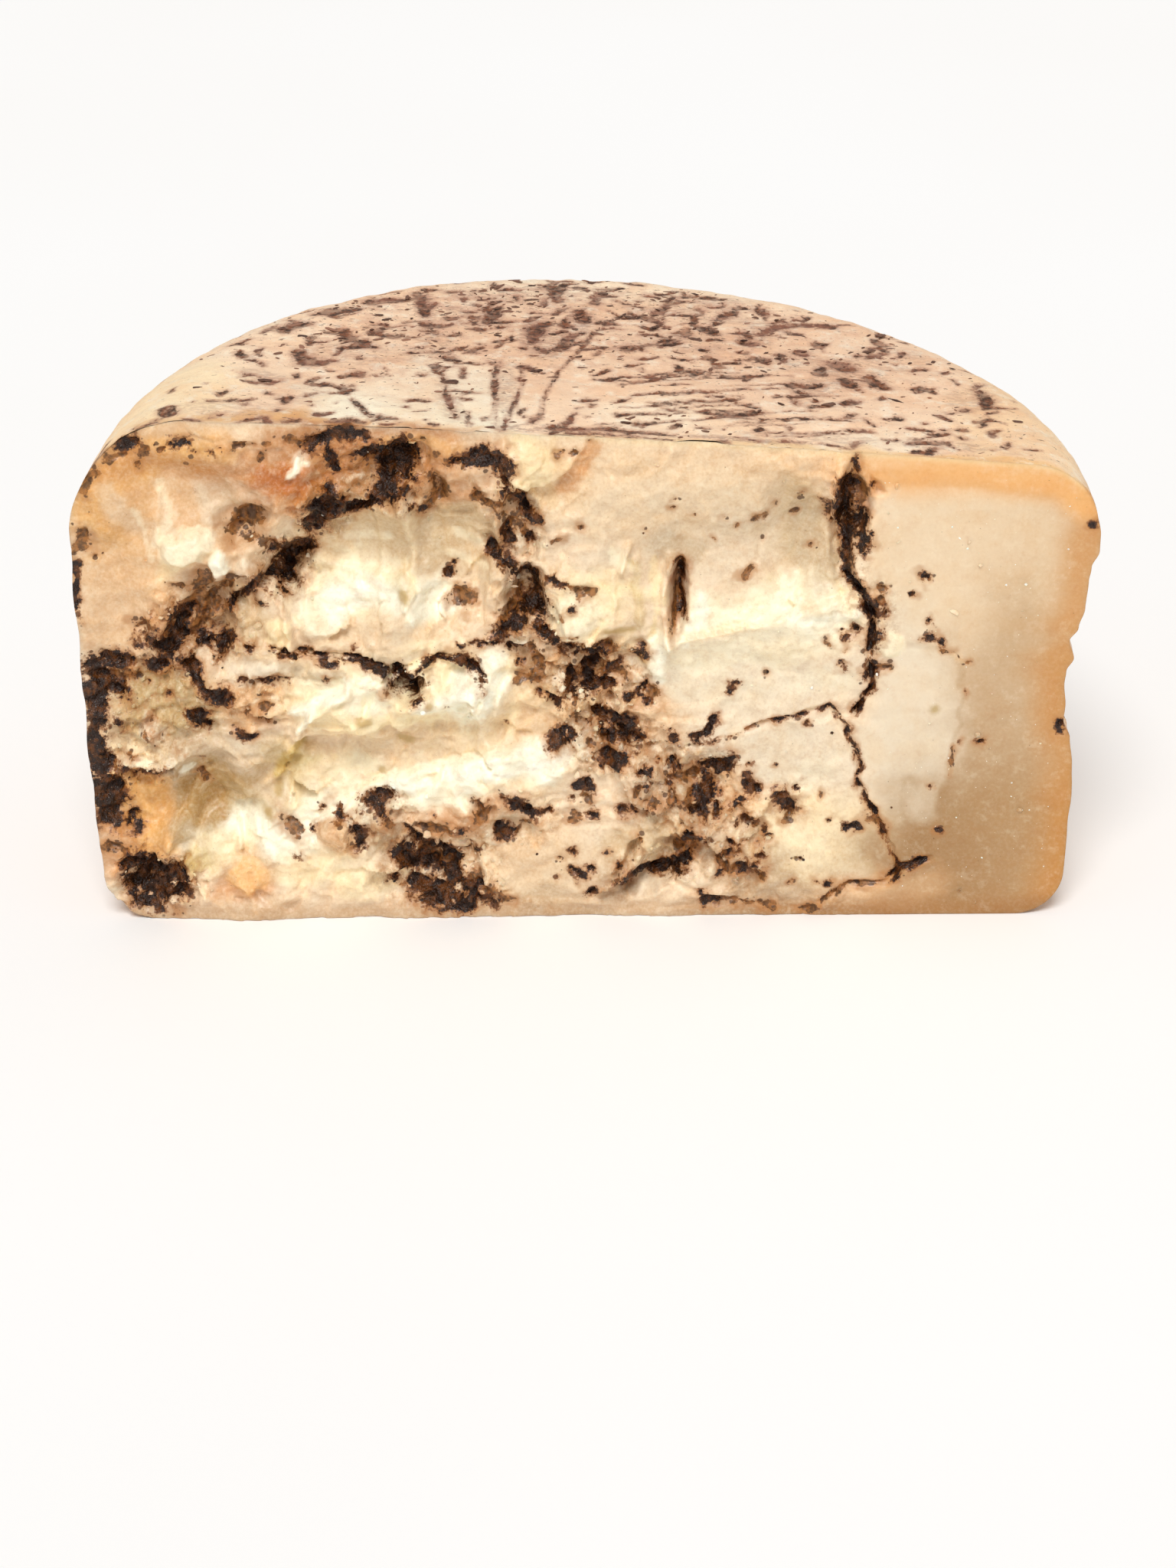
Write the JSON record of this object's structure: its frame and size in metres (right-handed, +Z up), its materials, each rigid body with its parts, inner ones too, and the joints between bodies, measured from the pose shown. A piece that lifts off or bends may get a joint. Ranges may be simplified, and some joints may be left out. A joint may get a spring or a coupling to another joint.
{
  "type": "half cheese wheel",
  "caption": "Half wheel of hard aged cheese with a broken, dark-veined cut face and a marked rind, standing on its flat face.",
  "frame": {"origin": "middle of the object's bounding box on the surface it rests on", "axes": "+Z up, +X along the cut face from its tall broken end to its low sliced end, the cut face looking along -Y"},
  "size_m": [0.2606, 0.1354, 0.1418],
  "materials": {
    "cheese": "moist crumbly cheese paste with dark veins, under a peach-beige rind with purple-brown marks"
  },
  "bodies": {
    "root": {"cheese": "cheese"}
  },
  "joints": []
}
